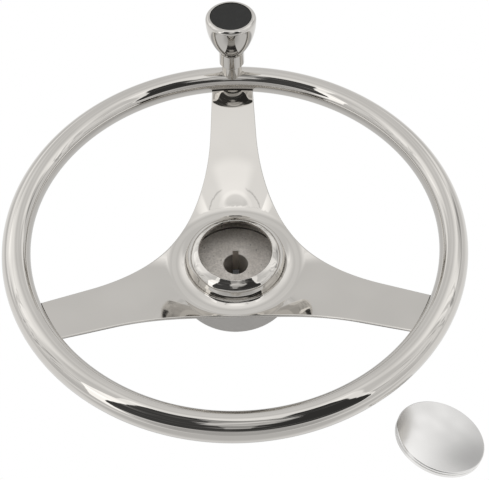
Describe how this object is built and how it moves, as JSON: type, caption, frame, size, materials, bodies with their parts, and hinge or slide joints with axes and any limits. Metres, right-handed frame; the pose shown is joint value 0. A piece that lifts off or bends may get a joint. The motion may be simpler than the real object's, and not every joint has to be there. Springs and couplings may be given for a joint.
{
  "type": "boat steering wheel",
  "caption": "Boat steering wheel with a round tube rim, dished plate spokes, a keyed hub, a turning knob on the rim and a loose hub cap.",
  "frame": {"origin": "axis of the shaft bore, in the plane of the hub boss's back face", "axes": "+Z along the bore towards the person steering, +Y towards the knob's spoke, +X to that person's right"},
  "size_m": [0.3441, 0.3565, 0.1378],
  "materials": {
    "polished_tube": "mirror-polished stainless steel tube",
    "polished_plate": "mirror-polished stainless steel plate",
    "cast_hub": "blasted and satin-turned stainless steel casting",
    "polished_fittings": "turned and polished stainless steel",
    "machined_steel": "turned stainless steel",
    "bearing_plastic": "natural acetal",
    "polished_knob": "mirror-polished stainless steel",
    "black_insert": "moulded matt black",
    "polished_cap": "polished pressed stainless steel",
    "cap_inside": "plain mill-finished sheet",
    "spring_steel": "rolled spring strip"
  },
  "bodies": {
    "wheel": {"rim_tube": "polished_tube", "spider_plate": "polished_plate", "hub_casting": "cast_hub", "knob_post": "polished_fittings", "knob_sleeve": "polished_fittings", "knob_spindle": "machined_steel", "knob_thrust_washer": "bearing_plastic", "knob_head_washer": "machined_steel", "cap_lid": "polished_cap", "cap_back_plate": "cap_inside", "cap_clip_near": "spring_steel", "cap_clip_far": "spring_steel"},
    "knob": {"knob_body": "polished_knob", "knob_bush_lower": "bearing_plastic", "knob_bush_upper": "bearing_plastic", "knob_insert": "black_insert"}
  },
  "joints": [
    {"name": "knob_spin", "type": "hinge", "parent": "wheel", "child": "knob", "pos_m": [0, 0.1612, 0.1137], "axis": [0, 0, 1], "continuous": true}
  ]
}
